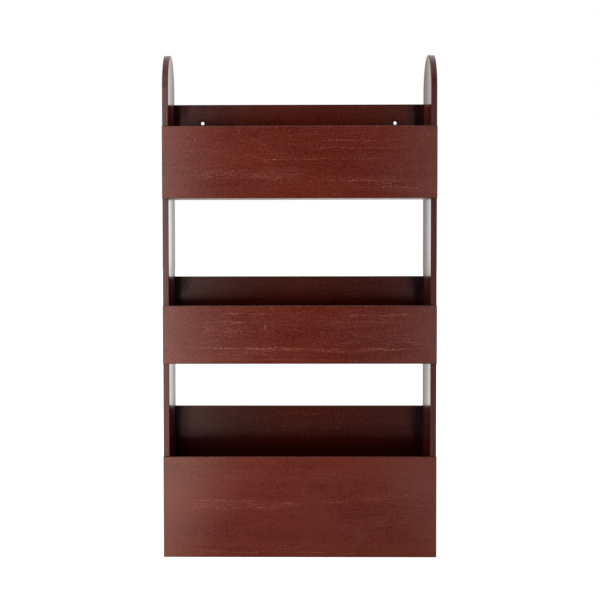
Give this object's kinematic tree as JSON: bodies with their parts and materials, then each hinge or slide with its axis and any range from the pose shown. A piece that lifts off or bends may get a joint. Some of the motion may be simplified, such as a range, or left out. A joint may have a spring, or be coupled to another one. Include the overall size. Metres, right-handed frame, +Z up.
{
  "type": "kids bookcase",
  "caption": "Narrow three-tier rack of thin stained boards that holds picture books face out, with half-round side tops and wall-screw holes in the top back board.",
  "frame": {"origin": "on the ground, in the middle of the rack's width and depth", "axes": "+X to the right seen from the front, +Y towards the wall, +Z up"},
  "size_m": [0.425, 0.119, 0.786],
  "materials": {
    "mahogany_board": "dark mahogany stain under satin lacquer",
    "steel_pin": "bright wire",
    "wood_filler": "stained filler under satin lacquer"
  },
  "bodies": {
    "root": {"left_side": "mahogany_board", "right_side": "mahogany_board", "bottom_back": "mahogany_board", "bottom_floor": "mahogany_board", "bottom_front": "mahogany_board", "middle_back": "mahogany_board", "middle_floor": "mahogany_board", "middle_front": "mahogany_board", "top_back": "mahogany_board", "top_floor": "mahogany_board", "top_front": "mahogany_board", "left_side_pins": "steel_pin", "right_side_pins": "steel_pin", "bottom_back_pins": "steel_pin", "middle_back_pins": "steel_pin", "top_back_pins": "steel_pin", "bottom_front_pins": "steel_pin", "middle_front_pins": "steel_pin", "top_front_pins": "steel_pin", "left_side_filler": "wood_filler", "right_side_filler": "wood_filler", "bottom_front_filler": "wood_filler", "middle_front_filler": "wood_filler", "top_front_filler": "wood_filler"}
  },
  "joints": []
}
